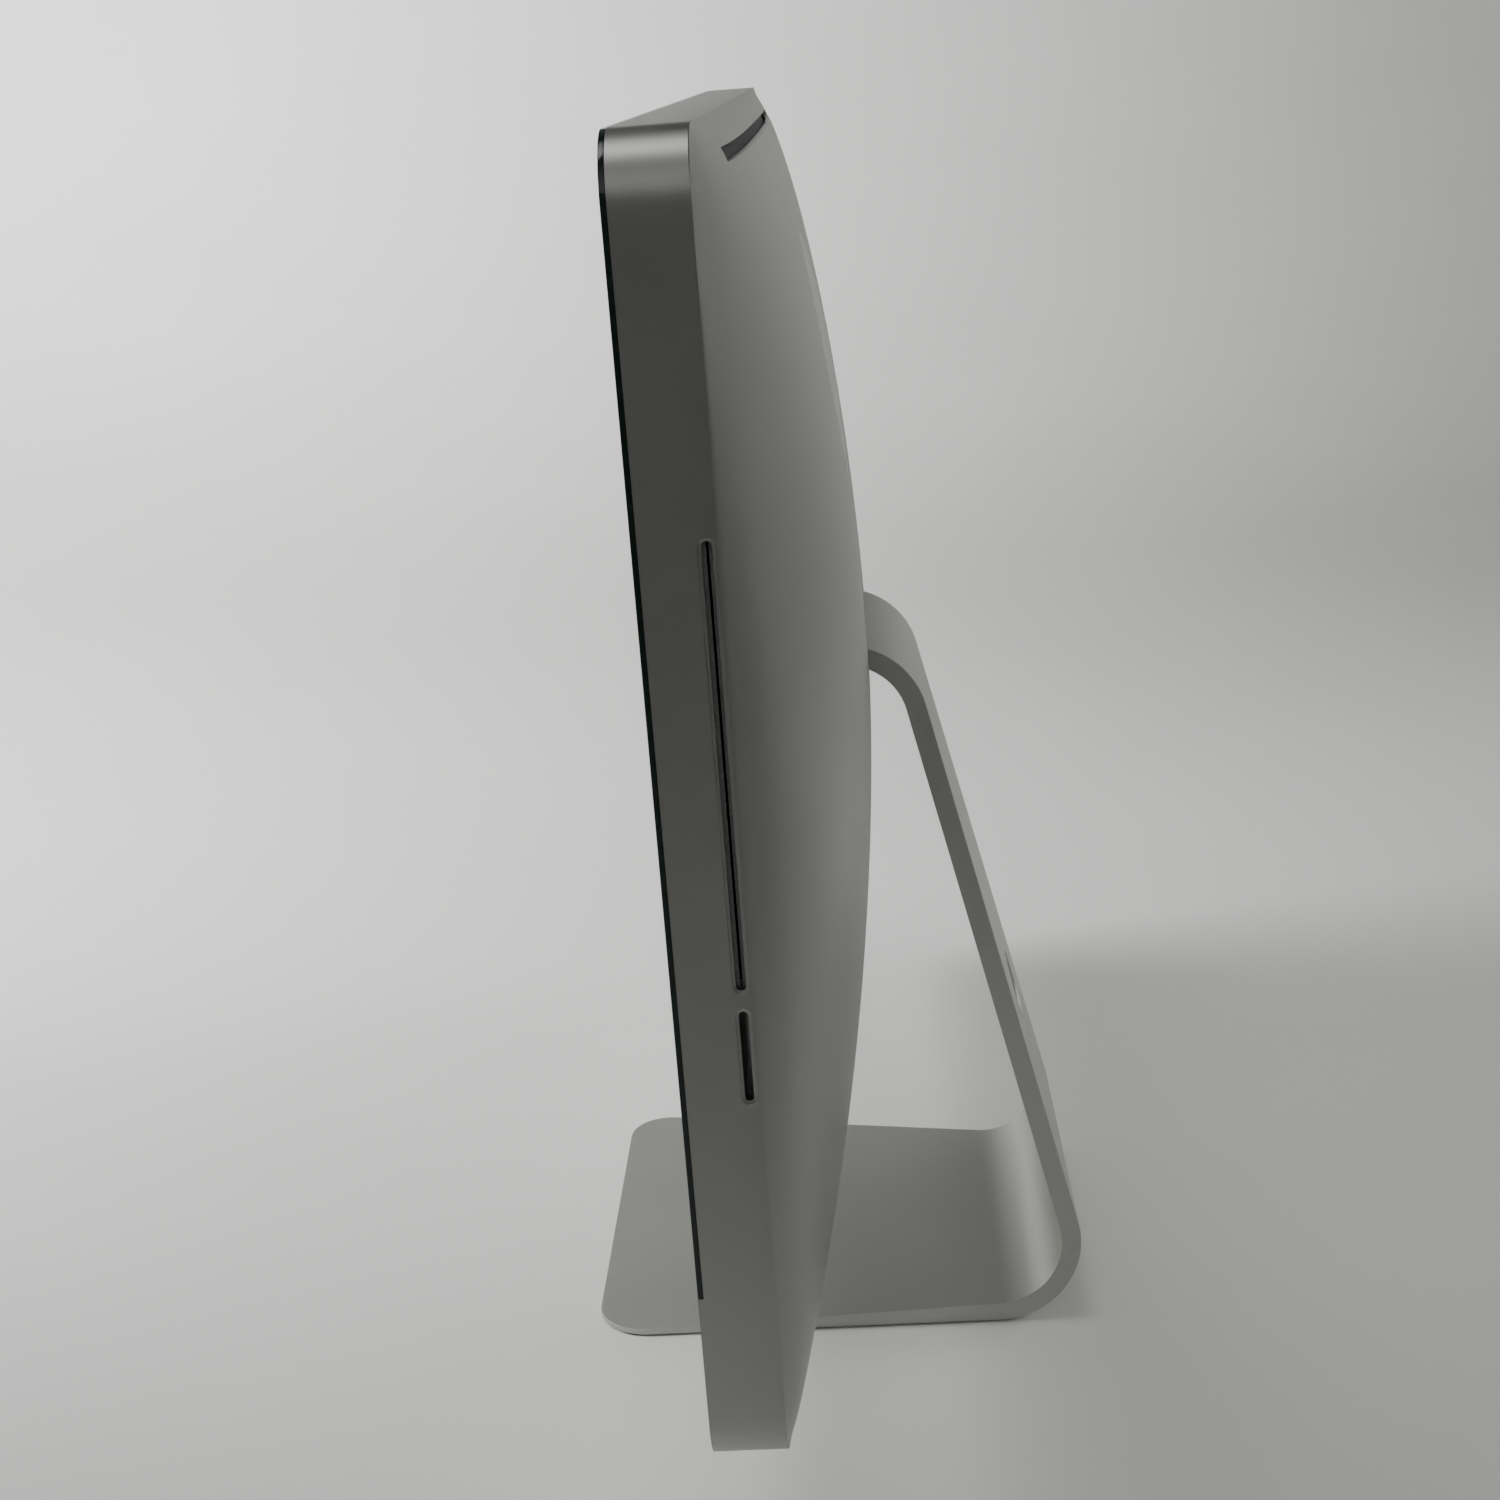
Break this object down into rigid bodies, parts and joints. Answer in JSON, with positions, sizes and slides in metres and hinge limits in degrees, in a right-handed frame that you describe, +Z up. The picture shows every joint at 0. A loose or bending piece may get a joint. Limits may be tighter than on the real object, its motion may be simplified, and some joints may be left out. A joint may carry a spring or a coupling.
{
  "type": "all in one computer",
  "caption": "Wide flat computer display with a glass front, aluminium case with a curved back, side disc and card slots, tilting on a bent plate stand.",
  "frame": {"origin": "centre of the overall box at desk level, under the foot pad", "axes": "+X right as the user faces the screen, -Y out of the screen, +Z up"},
  "size_m": [0.528, 0.1862, 0.4541],
  "materials": {
    "alu_satin": "satin",
    "alu_stand": "satin",
    "black_plastic": "matte",
    "board": "satin",
    "brass": "satin",
    "castmetal": "satin",
    "copper": "satin",
    "felt": "matte",
    "glass_black": "gloss",
    "heatsink": "satin",
    "magnet": "satin",
    "panel": "satin",
    "rubber": "matte",
    "screen": "gloss",
    "screw": "satin",
    "steel": "satin",
    "window": "gloss"
  },
  "bodies": {
    "stand": {"stand_plate": "alu_stand", "foot_pad": "rubber", "hinge_body": "castmetal", "stand_screws": "screw", "neck_shield": "black_plastic"},
    "display": {"rear_housing": "alu_satin", "front_glass": "glass_black", "glass_magnets": "magnet", "lcd_panel": "panel", "lcd_screen": "screen", "panel_brackets": "steel", "panel_screws": "screw", "camera_board": "board", "camera_lens": "window", "antenna_window": "window", "vent_fins": "black_plastic", "slot_felt": "felt", "optical_drive": "steel", "card_reader": "steel", "hard_drive": "heatsink", "hdd_brackets": "steel", "power_supply": "steel", "logic_board": "board", "board_screws": "screw", "cpu_heatsink": "heatsink", "gpu_heatsink": "copper", "memory_slot": "black_plastic", "memory_modules": "board", "memory_door": "alu_satin", "door_screws": "screw", "wireless_card": "board", "speaker_left": "black_plastic", "speaker_right": "black_plastic", "hdd_fan_frame": "black_plastic", "odd_fan_frame": "black_plastic", "cpu_fan_frame": "black_plastic", "audio_jacks": "black_plastic", "data_ports": "steel", "bus_port": "steel", "video_port": "steel", "network_port": "steel", "power_inlet": "black_plastic", "inlet_pins": "brass", "button_switch": "black_plastic", "hinge_shaft": "steel", "hinge_brackets": "castmetal", "hinge_screws": "screw", "friction_washers": "brass"},
    "power_button": {"power_button": "alu_stand"},
    "hdd_fan": {"hdd_impeller": "black_plastic"},
    "odd_fan": {"odd_impeller": "black_plastic"},
    "cpu_fan": {"cpu_impeller": "black_plastic"},
    "disc_spindle": {"drive_spindle": "black_plastic"}
  },
  "joints": [
    {"name": "tilt", "type": "hinge", "parent": "stand", "child": "display", "pos_m": [0, -0.01607, 0.26108], "axis": [-1, 0, 0], "range_deg": [-0.65, 29.35]},
    {"name": "power_press", "type": "slide", "parent": "display", "child": "power_button", "axis": [0.1383, -0.9871, 0.0803], "range_m": [0, 0.001], "stiffness_N_per_m": 900},
    {"name": "hdd_fan_spin", "type": "hinge", "parent": "display", "child": "hdd_fan", "pos_m": [0, -0.04321, 0.41216], "axis": [0, 0.9971, 0.0758], "continuous": true},
    {"name": "odd_fan_spin", "type": "hinge", "parent": "display", "child": "odd_fan", "pos_m": [0.165, -0.04131, 0.38723], "axis": [0, 0.9971, 0.0758], "continuous": true},
    {"name": "cpu_fan_spin", "type": "hinge", "parent": "display", "child": "cpu_fan", "pos_m": [0.165, -0.02455, 0.16687], "axis": [0, 0.9971, 0.0758], "continuous": true},
    {"name": "disc_spindle_spin", "type": "hinge", "parent": "display", "child": "disc_spindle", "pos_m": [0.19, -0.03691, 0.28978], "axis": [0, 0.9971, 0.0758], "continuous": true}
  ]
}
